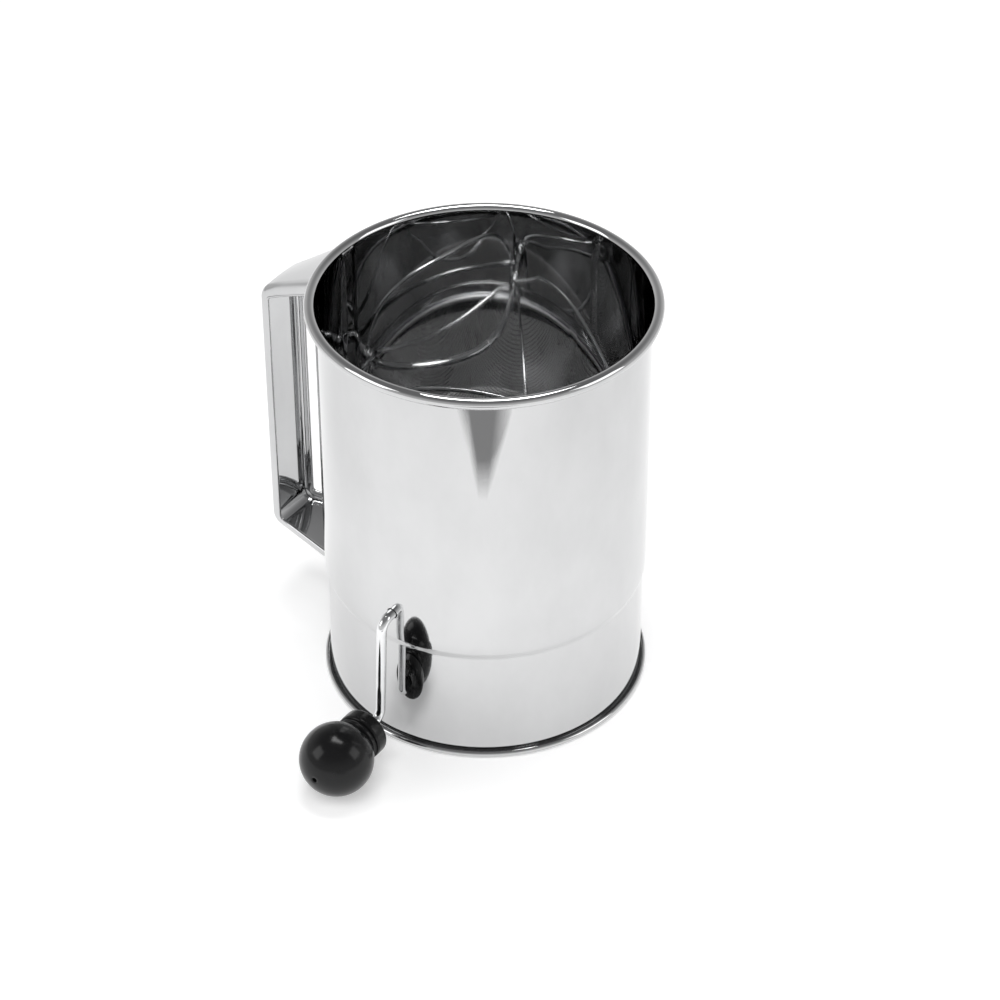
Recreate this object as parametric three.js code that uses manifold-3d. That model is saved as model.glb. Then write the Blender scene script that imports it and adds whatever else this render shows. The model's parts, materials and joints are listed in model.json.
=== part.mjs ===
// Rotary flour sifter: a rolled-edge sheet can with a strap handle, a woven screen bowl under a
// four-wire agitator, and a bent-wire crank with a free-turning ball knob.
// Millimetres, +Z up. The crank leaves the can towards -Y and the handle towards -X. Everything is
// built about the can's own axis and then shifted, so that the origin is the middle of the bottom
// of the whole object's box.
import * as THREE from "three";
import { mergeVertices } from "three/addons/utils/BufferGeometryUtils.js";
import Module from "manifold-3d";

const wasm = await Module();
wasm.setup();

// Fits
const GAP = 0.3; // between pieces that touch
const ROUND = 60; // facets round the can, a multiple of four so that its extents are exact
const CUT = 4; // how far a cutting body runs past what it cuts

// Can
const HEIGHT = 165;
const SHEET = 0.5;
const BARREL_R = 60.7; // outside of the wall above the shoulder
const SKIRT_R = 59.8; // outside of the wall below the shoulder
const SHOULDER_Z = 48;
const SHOULDER_H = 3;
const RIM_CURL_R = 2.1; // outside radius of the rolled rim's section
const FOOT_CURL_R = 1.35;

// Shaft and crank
const SHAFT_Z = 60.8;
const ROD_R = 1.9;
const REST_TILT = 2.26; // degrees that the hanging crank stands off plumb
const ARM_Y = -67.25;
const ARM_BEND_R = 4.6; // at both ends of the arm
const ARM_LENGTH = 46.2; // shaft to knob pin, which leaves the ball just clear of a table
const ROD_REAR_Y = 64.2;
const SPACER_R = 3.4;
const WASHER_R = 4.8;
const WASHER = 0.8;
const PUSH_NUT_R = 4.2;
const PUSH_NUT = 1.9;
const PIN_END_Y = -102.8;
const PIN_HEAD_R = 2.5;
const PIN_HEAD_LENGTH = 2;

// Knob
const BALL_R = 13.9;
const BALL_Y = -94.85;
const FLANGE_R = 9.3;
const NECK_R = 7.5;
const FLANGE_BACK_Y = -75.6;
const FLANGE_FRONT_Y = -81.8;
const FLANGE_ROUND = 1.3;
const KNOB_PLAY = 1; // along the pin
const TIP_HOLE_R = 1;

// Screen
const BOWL_RIM_R = 56.5;
const BOWL_RIM_Z = 45;
const BOWL_DEPTH = 32;
const CLOTH = 0.6;
const CLAMP_RING_H = 2;
const HOOP_TOP_Z = 52;

// Agitator
const BOWS = 4;
const BOW_WIRE_R = 1.1;
const BOW_ARC_R = 56.7; // of the wire's middle line
const BOW_ARC_SET = 13.7; // how far beyond the shaft that arc has its centre
const BOW_REST = 17.7; // degrees from the crank's upward direction to the first bow
const EYE_Y = 52; // first eye, measured from the can's axis
const EYE_PITCH = 2.6;
const EYE_START = -250; // degrees round the shaft where an eye's wire ends
const EYE_TURN = 230;
const RISER_LEAN = 2; // towards the can's axis

// Handle
const GRIP_X = -94.2;
const STRAP = 0.8;
const FLANGE_DEPTH = 5;
const GRIP_WIDTH = 22.4;
// An arm's heights at the wall and at its corner with the grip, and its width at the wall
const STRAP_TOP = { wall: 161, corner: 140, root: 46 };
const STRAP_LOW = { wall: 26.7, corner: 29.7, root: 34 };
const BLANK_WIDTH = 60; // of the strip that the strap is cut from
const STRAP_BEND_R = 6.5;
const TOP_TAB = 32;
const LOW_TAB = 17;
const TAB_INSET = 2; // a tab is narrower than the strap's root by this on each side

const RIM_R = BARREL_R - SHEET + 2 * RIM_CURL_R;
const CENTRE_X = (GRIP_X + RIM_R) / 2;
const KNOB_TIP_Y = BALL_Y - Math.sqrt(BALL_R ** 2 - TIP_HOLE_R ** 2);
const CENTRE_Y = (KNOB_TIP_Y + RIM_R) / 2;
const INSIDE_HOOP_R = SKIRT_R - 2 * SHEET - 2 * GAP;
const HOOP_FOOT_Z = BOWL_RIM_Z - CLOTH / 2 - GAP - SHEET;

const steel = { color: 0xd8dadb, roughness: 0.12, metalness: 1 };
const wire = { color: 0xc9cbcc, roughness: 0.2, metalness: 1 };
const gauze = { color: 0xa9abac, roughness: 0.35, metalness: 1 };
const black = { color: 0x141414, roughness: 0.18, metalness: 0 };

const radians = THREE.MathUtils.degToRad;
const sifter = new THREE.Group();
sifter.position.set(-CENTRE_X, -CENTRE_Y, 0);
const rotor = new THREE.Group();
rotor.position.z = SHAFT_Z;
rotor.rotation.y = radians(REST_TILT);
sifter.add(rotor);

function addPiece(parent, name, geometry, finish) {
  const mesh = new THREE.Mesh(geometry, new THREE.MeshStandardMaterial(finish));
  mesh.name = name;
  parent.add(mesh);
  return mesh;
}

// ---- Solids -----------------------------------------------------------------------------------

function toSolid(geometry) {
  const bare = geometry.clone();
  bare.deleteAttribute("normal");
  bare.deleteAttribute("uv");
  const merged = mergeVertices(bare, 1e-4);
  return new wasm.Manifold(
    new wasm.Mesh({
      numProp: 3,
      vertProperties: new Float32Array(merged.attributes.position.array),
      triVerts: new Uint32Array(merged.index.array),
    }),
  );
}

function toGeometry(solid) {
  const mesh = solid.getMesh();
  const geometry = new THREE.BufferGeometry();
  geometry.setAttribute("position", new THREE.BufferAttribute(mesh.vertProperties, 3));
  geometry.setIndex(new THREE.BufferAttribute(mesh.triVerts, 1));
  geometry.computeVertexNormals();
  return geometry;
}

// A section of [radius, height] pairs, turned round the Z axis. It closes on itself unless it starts
// on the axis, where it also ends.
function revolve(section, segments) {
  const points = section.map(([r, z]) => new THREE.Vector2(r, z));
  if (THREE.ShapeUtils.area(points) < 0) points.reverse();
  if (section[0][0] > 0) points.push(points[0].clone());
  return new THREE.LatheGeometry(points, segments).rotateX(Math.PI / 2);
}

// The same, with the heights laid along -Y.
function revolveAlongY(section, segments) {
  return revolve(section, segments).rotateX(Math.PI / 2);
}

function cylinderAlongY(radius, fromY, toY, segments) {
  const rod = new THREE.CylinderGeometry(radius, radius, toY - fromY, segments);
  return rod.translate(0, (fromY + toY) / 2, 0);
}

// Vertices of an eight-sided curl whose flats stand at the given radius. turns counts the vertices.
function curl(centreR, centreZ, radius, firstAngle, stepAngle, turns) {
  const reach = radius / Math.cos(radians(22.5));
  return Array.from({ length: turns }, (_, i) => {
    const angle = radians(firstAngle + i * stepAngle);
    return [centreR + reach * Math.cos(angle), centreZ + reach * Math.sin(angle)];
  });
}

// ---- Wires ------------------------------------------------------------------------------------

// A path that is sampled exactly at its own stations, so that bends get more facets than straights.
class StationPath extends THREE.Curve {
  constructor(stations) {
    super();
    this.stations = stations;
  }
  getPoint(t, target = new THREE.Vector3()) {
    const place = t * (this.stations.length - 1);
    const i = Math.min(Math.floor(place), this.stations.length - 2);
    return target.lerpVectors(this.stations[i], this.stations[i + 1], place - i);
  }
  getPointAt(u, target) {
    return this.getPoint(u, target);
  }
  getTangentAt(u, target = new THREE.Vector3()) {
    const last = this.stations.length - 1;
    const i = Math.round(u * last);
    const before = this.stations[Math.max(i - 1, 0)];
    const after = this.stations[Math.min(i + 1, last)];
    return target.subVectors(after, before).normalize();
  }
}

function wireAlong(stations, radius, sides) {
  const section = new THREE.Shape(
    Array.from({ length: sides }, (_, i) => {
      const angle = (2 * Math.PI * (i + 0.5)) / sides;
      return new THREE.Vector2(radius * Math.cos(angle), radius * Math.sin(angle));
    }),
  );
  const path = new StationPath(stations);
  return new THREE.ExtrudeGeometry(section, { steps: stations.length - 1, extrudePath: path });
}

// The corners of a bent route, each rounded to its radius.
function roundedRoute(corners, radii, stepsPerBend) {
  const route = [corners[0]];
  for (let i = 1; i < corners.length - 1; i++) {
    const back = corners[i - 1].clone().sub(corners[i]).normalize();
    const on = corners[i + 1].clone().sub(corners[i]).normalize();
    const half = back.angleTo(on) / 2;
    const middle = back.clone().add(on).normalize();
    const centre = corners[i].clone().addScaledVector(middle, radii[i - 1] / Math.sin(half));
    const from = corners[i].clone().addScaledVector(back, radii[i - 1] / Math.tan(half)).sub(centre);
    const to = corners[i].clone().addScaledVector(on, radii[i - 1] / Math.tan(half)).sub(centre);
    const sweep = from.angleTo(to);
    for (let k = 0; k <= stepsPerBend; k++) {
      const t = k / stepsPerBend;
      const a = Math.sin((1 - t) * sweep) / Math.sin(sweep);
      const b = Math.sin(t * sweep) / Math.sin(sweep);
      route.push(from.clone().multiplyScalar(a).addScaledVector(to, b).add(centre));
    }
  }
  route.push(corners[corners.length - 1]);
  return route;
}

// ---- Can --------------------------------------------------------------------------------------

const RIM_CURL = { r: BARREL_R - SHEET + RIM_CURL_R, z: HEIGHT - RIM_CURL_R };
const FOOT_CURL = { r: SKIRT_R - SHEET + FOOT_CURL_R, z: FOOT_CURL_R };

// The sheet's section: rolled rim, wall, shoulder, skirt and rolled foot. The wall is pierced on both
// sides for the shaft.
function barrel() {
  const stepTop = SHOULDER_Z + SHOULDER_H / 2;
  const stepFoot = SHOULDER_Z - SHOULDER_H / 2;
  const section = [
    ...curl(RIM_CURL.r, RIM_CURL.z, RIM_CURL_R, 157.5, -45, 7),
    ...curl(RIM_CURL.r, RIM_CURL.z, RIM_CURL_R - SHEET, 157.5, -45, 7).reverse(),
    [BARREL_R, stepTop],
    [SKIRT_R, stepFoot],
    ...curl(FOOT_CURL.r, FOOT_CURL.z, FOOT_CURL_R - SHEET, 202.5, 45, 7),
    ...curl(FOOT_CURL.r, FOOT_CURL.z, FOOT_CURL_R, 202.5, 45, 7).reverse(),
    [SKIRT_R - SHEET, stepFoot - SHEET / 2],
    [BARREL_R - SHEET, stepTop - SHEET / 2],
  ];
  const reach = BARREL_R + CUT;
  const bore = cylinderAlongY(ROD_R + GAP, -reach, reach, 16).translate(0, 0, SHAFT_Z);
  return toGeometry(toSolid(revolve(section, ROUND)).subtract(toSolid(bore)));
}

function rimWire() {
  const radius = RIM_CURL_R - SHEET - GAP;
  return revolve(curl(RIM_CURL.r, RIM_CURL.z, radius, 157.5, -45, 8), ROUND);
}

// ---- Screen -----------------------------------------------------------------------------------

// A stepped hoop that stands on the shoulder, with a foot flange that carries the bowl's rim.
function screenHoop() {
  const outerLow = SKIRT_R - SHEET - GAP;
  const outerHigh = BARREL_R - SHEET - GAP;
  const stepZ = SHOULDER_Z + SHOULDER_H / 2 + GAP;
  const section = [
    [outerHigh, HOOP_TOP_Z],
    [outerHigh, stepZ],
    [outerLow, stepZ - SHOULDER_H],
    [outerLow, HOOP_FOOT_Z],
    [BOWL_RIM_R + GAP, HOOP_FOOT_Z],
    [BOWL_RIM_R + GAP, HOOP_FOOT_Z + SHEET],
    [outerLow - SHEET, HOOP_FOOT_Z + SHEET],
    [outerLow - SHEET, stepZ - SHOULDER_H + SHEET / 2],
    [outerHigh - SHEET, stepZ + SHEET / 2],
    [outerHigh - SHEET, HOOP_TOP_Z],
  ];
  return revolve(section, ROUND);
}

function clampRing() {
  const foot = BOWL_RIM_Z + CLOTH / 2 + GAP;
  const section = [
    [INSIDE_HOOP_R, foot + CLAMP_RING_H],
    [INSIDE_HOOP_R, foot],
    [BOWL_RIM_R, foot],
    [BOWL_RIM_R, foot + CLAMP_RING_H],
  ];
  return revolve(section, ROUND);
}

const BOWL_SPHERE_R = (BOWL_RIM_R ** 2 + BOWL_DEPTH ** 2) / (2 * BOWL_DEPTH);
const BOWL_CENTRE_Z = BOWL_RIM_Z - BOWL_DEPTH + BOWL_SPHERE_R;

// One face of the bowl, from its rim down to the axis, at an offset from the cloth's middle.
function bowlFace(offset, steps) {
  const radius = BOWL_SPHERE_R + offset;
  const reach = Math.asin(BOWL_RIM_R / BOWL_SPHERE_R);
  return Array.from({ length: steps + 1 }, (_, i) => {
    const angle = reach * (1 - i / steps);
    return [i === steps ? 0 : radius * Math.sin(angle), BOWL_CENTRE_Z - radius * Math.cos(angle)];
  });
}

function screenCloth() {
  const top = BOWL_RIM_Z + CLOTH / 2;
  const under = BOWL_RIM_Z - CLOTH / 2;
  const section = [
    ...bowlFace(-CLOTH / 2, 6).reverse(),
    [INSIDE_HOOP_R, top],
    [INSIDE_HOOP_R, under],
    ...bowlFace(CLOTH / 2, 6),
  ];
  return revolve(section, 48);
}

// ---- Crank and agitator, about the shaft's axis -------------------------------------------------

function crankRod() {
  const corners = [
    [ROD_REAR_Y, 0],
    [ARM_Y, 0],
    [ARM_Y, -ARM_LENGTH],
    [PIN_END_Y, -ARM_LENGTH],
  ].map(([y, h]) => new THREE.Vector3(0, y, h));
  const rod = wireAlong(roundedRoute(corners, [ARM_BEND_R, ARM_BEND_R], 6), ROD_R, 10);
  const head = cylinderAlongY(PIN_HEAD_R, PIN_END_Y - PIN_HEAD_LENGTH, PIN_END_Y + GAP, 12);
  return toGeometry(toSolid(rod).add(toSolid(head.translate(0, 0, -ARM_LENGTH))));
}

// How far a bow stands from the shaft. It follows the bowl, which it sweeps just above.
function bowReach(y) {
  return Math.sqrt(BOW_ARC_R ** 2 - y ** 2) - BOW_ARC_SET;
}

// Half of one bow: the eye round the shaft, the riser and the bow up to its middle. x is across the
// bow's plane and z is away from the shaft.
function halfBow(eyeY) {
  const eyeR = ROD_R + GAP + BOW_WIRE_R;
  const stations = [];
  const eyeSteps = 8;
  for (let i = 0; i <= eyeSteps; i++) {
    const a = radians(EYE_START + (i * EYE_TURN) / eyeSteps);
    stations.push(new THREE.Vector3(eyeR * Math.cos(a), -eyeY, eyeR * Math.sin(a)));
  }
  const startY = eyeY - RISER_LEAN;
  const startR = bowReach(startY);
  const riserSteps = 3;
  for (let i = 0; i < riserSteps; i++) {
    const t = i / riserSteps;
    const across = eyeR * (1 - t) * (1 - t) * (1 + 2 * t);
    stations.push(new THREE.Vector3(across, -eyeY + RISER_LEAN * t ** 3, startR * t));
  }
  const bowSteps = 9;
  for (let i = 0; i < bowSteps; i++) {
    const y = startY * (1 - i / bowSteps);
    stations.push(new THREE.Vector3(0, -y, bowReach(y)));
  }
  return stations;
}

function agitatorBow(eyeY) {
  const half = halfBow(eyeY);
  const other = half.map((p) => new THREE.Vector3(p.x, -p.y, p.z)).reverse();
  const middle = new THREE.Vector3(0, 0, bowReach(0));
  return wireAlong([...half, middle, ...other], BOW_WIRE_R, 6);
}

function sleeveAlongY(outerR, fromY, toY) {
  const inner = ROD_R + GAP;
  const section = [
    [outerR, toY],
    [outerR, fromY],
    [inner, fromY],
    [inner, toY],
  ];
  return revolveAlongY(section.map(([r, y]) => [r, -y]), 20);
}

// ---- Knob, about its own pin --------------------------------------------------------------------

function arc(centreY, radius, fromAngle, toAngle, steps) {
  return Array.from({ length: steps + 1 }, (_, i) => {
    const a = radians(fromAngle + ((toAngle - fromAngle) * i) / steps);
    return [radius * Math.sin(a), centreY + radius * Math.cos(a)];
  });
}

// Heights are distances in front of the can's axis. The bore widens into a chamber for the pin's head.
function knob() {
  const front = -BALL_Y;
  const boreR = ROD_R + GAP;
  const chamberR = PIN_HEAD_R + GAP;
  const chamberFrom = -PIN_END_Y - KNOB_PLAY;
  const chamberTo = -PIN_END_Y + PIN_HEAD_LENGTH + GAP;
  const back = -FLANGE_BACK_Y;
  const flange = -FLANGE_FRONT_Y;
  const neckAngle = 180 - THREE.MathUtils.radToDeg(Math.asin(NECK_R / BALL_R));
  const tipAngle = THREE.MathUtils.radToDeg(Math.asin(TIP_HOLE_R / BALL_R));
  const outside = [
    [FLANGE_R - FLANGE_ROUND, back],
    [FLANGE_R, back + FLANGE_ROUND],
    [FLANGE_R, flange - FLANGE_ROUND],
    [FLANGE_R - FLANGE_ROUND, flange],
    [NECK_R, flange],
    ...arc(front, BALL_R, neckAngle, tipAngle, 11),
  ];
  const inside = [
    [TIP_HOLE_R, chamberTo],
    [chamberR, chamberTo],
    [chamberR, chamberFrom],
    [boreR, chamberFrom],
    [boreR, back],
  ];
  return revolveAlongY([...outside, ...inside], 28);
}

// ---- Handle -------------------------------------------------------------------------------------

// Moves an open line of [x, z] corners sideways by a distance, towards its left.
function offsetLine(corners, distance) {
  const normals = corners.slice(1).map(([x, z], i) => {
    const along = new THREE.Vector2(x - corners[i][0], z - corners[i][1]).normalize();
    return new THREE.Vector2(-along.y, along.x);
  });
  return corners.map(([x, z], i) => {
    const a = normals[Math.max(i - 1, 0)];
    const b = normals[Math.min(i, normals.length - 1)];
    const mitre = a.clone().add(b);
    mitre.multiplyScalar((2 * distance) / mitre.lengthSq());
    return [x + mitre.x, z + mitre.y];
  });
}

// An arm's height where its line has run on through the wall by the length CUT.
function pastWall(arm) {
  return arm.wall + ((arm.wall - arm.corner) * CUT) / (-BARREL_R - GRIP_X);
}

function strapLine(offset) {
  const corners = [
    [-BARREL_R + CUT, pastWall(STRAP_TOP)],
    [GRIP_X, STRAP_TOP.corner],
    [GRIP_X, STRAP_LOW.corner],
    [-BARREL_R + CUT, pastWall(STRAP_LOW)],
  ];
  const moved = offsetLine(corners, offset).map(([x, z]) => new THREE.Vector3(x, z, 0));
  const bend = Math.max(STRAP_BEND_R - offset, 1);
  return roundedRoute(moved, [bend, bend], 4).map((p) => new THREE.Vector2(p.x, p.y));
}

// The band between two offsets of the strap's side view, as wide as the blank.
function strapBand(outer, inner) {
  const side = new THREE.Shape([...strapLine(outer), ...strapLine(inner).reverse()]);
  const band = new THREE.ExtrudeGeometry(side, { depth: BLANK_WIDTH, bevelEnabled: false });
  return toSolid(band.translate(0, 0, -BLANK_WIDTH / 2).rotateX(Math.PI / 2));
}

// The plan view that an arm and its half of the grip are cut to: narrow at the grip, wide at the wall.
function armPlan(arm, trim, fromZ, toZ) {
  const grip = GRIP_WIDTH / 2 - trim;
  const root = arm.root / 2 - trim;
  const plan = new THREE.Shape([
    new THREE.Vector2(GRIP_X - CUT, -grip),
    new THREE.Vector2(GRIP_X + FLANGE_DEPTH, -grip),
    new THREE.Vector2(-BARREL_R + CUT, -root),
    new THREE.Vector2(-BARREL_R + CUT, root),
    new THREE.Vector2(GRIP_X + FLANGE_DEPTH, grip),
    new THREE.Vector2(GRIP_X - CUT, grip),
  ]);
  const options = { depth: toZ - fromZ, bevelEnabled: false };
  return toSolid(new THREE.ExtrudeGeometry(plan, options).translate(0, 0, fromZ));
}

function strapPlan(trim) {
  const middle = (STRAP_TOP.corner + STRAP_LOW.corner) / 2;
  const low = armPlan(STRAP_LOW, trim, 0, middle);
  return low.add(armPlan(STRAP_TOP, trim, middle, HEIGHT + CUT));
}

// A tab rolled to the wall, on which the strap is spot-welded.
function strapTab(arm, wallR, fromZ, toZ) {
  const half = Math.asin((arm.root / 2 - TAB_INSET) / wallR);
  const tab = new THREE.Shape();
  tab.absarc(0, 0, wallR + GAP + STRAP, Math.PI - half, Math.PI + half, false);
  tab.absarc(0, 0, wallR + GAP, Math.PI + half, Math.PI - half, true);
  const options = { depth: toZ - fromZ, bevelEnabled: false, curveSegments: 8 };
  return toSolid(new THREE.ExtrudeGeometry(tab, options).translate(0, 0, fromZ));
}

// A disc that the strap's ends are cut back to.
function wallPlug(radius, fromZ, toZ) {
  const plug = new THREE.CylinderGeometry(radius, radius, toZ - fromZ, ROUND);
  return toSolid(plug.rotateX(Math.PI / 2).translate(0, 0, (fromZ + toZ) / 2));
}

function handleStrap() {
  const bandOuter = strapBand(0, FLANGE_DEPTH).intersect(strapPlan(0));
  const pocket = strapBand(STRAP, FLANGE_DEPTH + CUT).intersect(strapPlan(STRAP));
  const stepZ = SHOULDER_Z - SHOULDER_H / 2 - GAP;
  const underRim = HEIGHT - 2 * RIM_CURL_R - GAP;
  const topTabFoot = STRAP_TOP.wall - TOP_TAB;
  const lowTabTop = STRAP_LOW.wall + LOW_TAB;
  return toGeometry(
    bandOuter
      .subtract(pocket)
      .subtract(wallPlug(RIM_R + GAP, underRim, HEIGHT))
      .subtract(wallPlug(BARREL_R + GAP, stepZ, HEIGHT))
      .subtract(wallPlug(SKIRT_R + GAP, 0, stepZ + GAP))
      .add(strapTab(STRAP_TOP, BARREL_R, topTabFoot, STRAP_TOP.wall - STRAP))
      .add(strapTab(STRAP_LOW, SKIRT_R, STRAP_LOW.wall + STRAP / 2, lowTabTop)),
  );
}

// ---- Assembly -----------------------------------------------------------------------------------

addPiece(sifter, "barrel", barrel(), steel);
addPiece(sifter, "rim_wire", rimWire(), wire);
addPiece(sifter, "handle_strap", handleStrap(), steel);
addPiece(sifter, "screen_hoop", screenHoop(), steel);
addPiece(sifter, "screen_clamp_ring", clampRing(), wire);
addPiece(sifter, "screen_cloth", screenCloth(), gauze);

addPiece(rotor, "crank_rod", crankRod(), wire);
for (let i = 0; i < BOWS; i++) {
  const bow = addPiece(rotor, `agitator_bow_${i + 1}`, agitatorBow(EYE_Y - i * EYE_PITCH), wire);
  bow.rotation.y = radians(BOW_REST + (i * 360) / BOWS);
}
const eyeEnd = EYE_Y + BOW_WIRE_R + GAP;
const spacerEnd = BARREL_R - SHEET - GAP;
addPiece(rotor, "front_spacer", sleeveAlongY(SPACER_R, -spacerEnd, -eyeEnd), steel);
addPiece(rotor, "rear_spacer", sleeveAlongY(SPACER_R, eyeEnd, spacerEnd), steel);
const washerY = BARREL_R + GAP;
addPiece(rotor, "rear_washer", sleeveAlongY(WASHER_R, washerY, washerY + WASHER), steel);
const nutY = washerY + WASHER + GAP;
addPiece(rotor, "rear_push_nut", sleeveAlongY(PUSH_NUT_R, nutY, nutY + PUSH_NUT), steel);
const knobMesh = addPiece(rotor, "knob", knob(), black);
knobMesh.position.z = -ARM_LENGTH;

export default sifter;
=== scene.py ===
"""Looks of the hand-crank flour sifter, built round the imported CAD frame. Metres, +Z up.

The can's axis, the shaft and the knob's pin come from the record's joints, and every piece takes its
place and its main sizes from the CAD node that it stands for.
"""

import json
import math

import bmesh
import bpy
import numpy as np
from mathutils import Matrix, Vector


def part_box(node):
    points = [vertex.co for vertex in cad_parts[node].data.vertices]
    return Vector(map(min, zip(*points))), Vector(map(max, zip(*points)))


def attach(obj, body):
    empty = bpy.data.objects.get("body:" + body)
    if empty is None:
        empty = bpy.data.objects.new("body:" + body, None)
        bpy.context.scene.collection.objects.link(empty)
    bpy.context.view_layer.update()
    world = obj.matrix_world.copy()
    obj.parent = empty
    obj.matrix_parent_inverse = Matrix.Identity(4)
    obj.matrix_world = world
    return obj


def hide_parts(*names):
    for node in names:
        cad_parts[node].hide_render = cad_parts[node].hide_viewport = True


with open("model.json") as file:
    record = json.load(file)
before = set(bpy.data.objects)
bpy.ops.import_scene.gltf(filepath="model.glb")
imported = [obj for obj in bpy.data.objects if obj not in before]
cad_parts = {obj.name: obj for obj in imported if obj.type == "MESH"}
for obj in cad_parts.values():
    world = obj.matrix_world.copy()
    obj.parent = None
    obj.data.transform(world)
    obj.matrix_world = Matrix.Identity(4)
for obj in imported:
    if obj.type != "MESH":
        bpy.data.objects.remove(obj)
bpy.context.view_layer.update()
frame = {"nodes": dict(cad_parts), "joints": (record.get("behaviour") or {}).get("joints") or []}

MM = 0.001


# ---- Places and sizes from the frame ------------------------------------------------------------

JOINTS = {joint["name"]: joint for joint in frame["joints"]}
SHAFT = Vector(JOINTS["crank_spin"]["pos_m"])
PIN = Vector(JOINTS["knob_spin"]["pos_m"])
BARREL_LOW, BARREL_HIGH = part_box("barrel")
AXIS = Vector(((BARREL_LOW.x + BARREL_HIGH.x) / 2, (BARREL_LOW.y + BARREL_HIGH.y) / 2, 0))
HEIGHT = BARREL_HIGH.z
RIM_R = (BARREL_HIGH.x - BARREL_LOW.x) / 2

# Touching pieces stand GAP apart.
GAP = 0.3 * MM
SHEET = 0.5 * MM
RIM_CURL = 2.1 * MM
FOOT_CURL = 1.35 * MM
SHOULDER_STEP = 0.9 * MM
WALL_R = RIM_R - 2 * RIM_CURL + SHEET
SKIRT_R = WALL_R - SHOULDER_STEP
SHOULDER_LOW = 46.7 * MM
SHOULDER_HIGH = 49.4 * MM
ROD_R = 1.9 * MM
BORE_R = ROD_R + GAP


# ---- Mesh helpers -------------------------------------------------------------------------------

def new_object(name, vertices, faces):
    mesh = bpy.data.meshes.new(name)
    mesh.from_pydata([tuple(v) for v in vertices], [], faces)
    mesh.validate()
    piece = bpy.data.objects.new(name, mesh)
    bpy.context.scene.collection.objects.link(piece)
    return piece


def finish_mesh(piece, material, sharp_degrees=35):
    """Outward faces, smooth shading with sharp creases, and the material."""
    shape = bmesh.new()
    shape.from_mesh(piece.data)
    bmesh.ops.recalc_face_normals(shape, faces=shape.faces)
    shape.to_mesh(piece.data)
    shape.free()
    piece.data.shade_smooth()
    piece.data.set_sharp_from_angle(angle=math.radians(sharp_degrees))
    piece.data.materials.clear()
    piece.data.materials.append(material)
    return piece


def place(piece, body, slot, *nodes):
    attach(piece, body)
    if nodes:
        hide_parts(*nodes)
    return piece


def arc(centre, radius, start, end, steps):
    """Points [a, b] on an arc, from one angle in degrees to another."""
    angles = np.radians(np.linspace(start, end, steps + 1))
    return [(centre[0] + radius * math.cos(a), centre[1] + radius * math.sin(a)) for a in angles]


def lathe(name, section, segments, place_point):
    """A closed section of (radius, height) points turned round an axis. place_point puts a point
    (x across, y across, height) in the frame."""
    rows = len(section)
    vertices = []
    for i in range(segments):
        a = 2 * math.pi * i / segments
        vertices += [place_point(r * math.cos(a), r * math.sin(a), h) for r, h in section]
    faces = []
    for i in range(segments):
        j = (i + 1) % segments
        for k in range(rows):
            n = (k + 1) % rows
            faces.append((i * rows + k, j * rows + k, j * rows + n, i * rows + n))
    piece = new_object(name, vertices, faces)
    shape = bmesh.new()
    shape.from_mesh(piece.data)
    bmesh.ops.remove_doubles(shape, verts=shape.verts, dist=1e-7)
    bmesh.ops.dissolve_degenerate(shape, edges=shape.edges, dist=1e-8)
    shape.to_mesh(piece.data)
    shape.free()
    return piece


def upright(x, y, h):
    return AXIS + Vector((x, y, h))


def along_shaft(x, y, h):
    """h runs from the can's axis towards the crank."""
    return Vector((SHAFT.x + x, AXIS.y - h, SHAFT.z + y))


def along_pin(x, y, h):
    return Vector((PIN.x + x, AXIS.y - h, PIN.z + y))


def direction_at(points, i):
    """The way that a line of points runs at one of them."""
    return (points[min(i + 1, len(points) - 1)] - points[max(i - 1, 0)]).normalized()


def tube_faces(first, rings, sides):
    """Sides and end caps of a tube whose rings of vertices start at the first index."""
    faces = []
    for i in range(rings - 1):
        for k in range(sides):
            a = first + i * sides + k
            b = first + i * sides + (k + 1) % sides
            faces.append((a, b, b + sides, a + sides))
    faces.append(tuple(first + k for k in range(sides))[::-1])
    faces.append(tuple(first + (rings - 1) * sides + k for k in range(sides)))
    return faces


def tube(name, points, radius, sides):
    """A round wire along a line of points, with domed ends."""
    points = [Vector(p) for p in points]
    dome = [(math.cos(a), 1 - math.sin(a)) for a in np.radians([75, 50, 25])]
    head = (points[0] - points[1]).normalized()
    tail = (points[-1] - points[-2]).normalized()
    start = [points[0] - head * radius * set_back for _, set_back in dome]
    end = [points[-1] - tail * radius * set_back for _, set_back in reversed(dome)]
    inner = points[1:-1]
    points = start + inner + end
    dome_radii = [radius * size for size, _ in dome]
    radii = dome_radii + [radius] * len(inner) + dome_radii[::-1]
    tangents = [direction_at(points, i) for i in range(len(points))]
    normal = tangents[0].orthogonal().normalized()
    vertices = []
    for i, point in enumerate(points):
        if i:
            normal = (normal - tangents[i] * normal.dot(tangents[i])).normalized()
        across = tangents[i].cross(normal)
        for k in range(sides):
            a = 2 * math.pi * k / sides
            vertices.append(point + (normal * math.cos(a) + across * math.sin(a)) * radii[i])
    return new_object(name, vertices, tube_faces(0, len(points), sides))


def rounded(corners, radii, steps):
    """The corners of a bent route, each rounded to its radius."""
    corners = [Vector(c) for c in corners]
    route = [corners[0]]
    for i in range(1, len(corners) - 1):
        back = (corners[i - 1] - corners[i]).normalized()
        on = (corners[i + 1] - corners[i]).normalized()
        half = back.angle(on) / 2
        middle = (back + on).normalized()
        centre = corners[i] + middle * radii[i - 1] / math.sin(half)
        start = corners[i] + back * radii[i - 1] / math.tan(half) - centre
        end = corners[i] + on * radii[i - 1] / math.tan(half) - centre
        sweep = start.angle(end)
        for k in range(steps + 1):
            t = k / steps
            a = math.sin((1 - t) * sweep) / math.sin(sweep)
            b = math.sin(t * sweep) / math.sin(sweep)
            route.append(start * a + end * b + centre)
    route.append(corners[-1])
    return route


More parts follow.
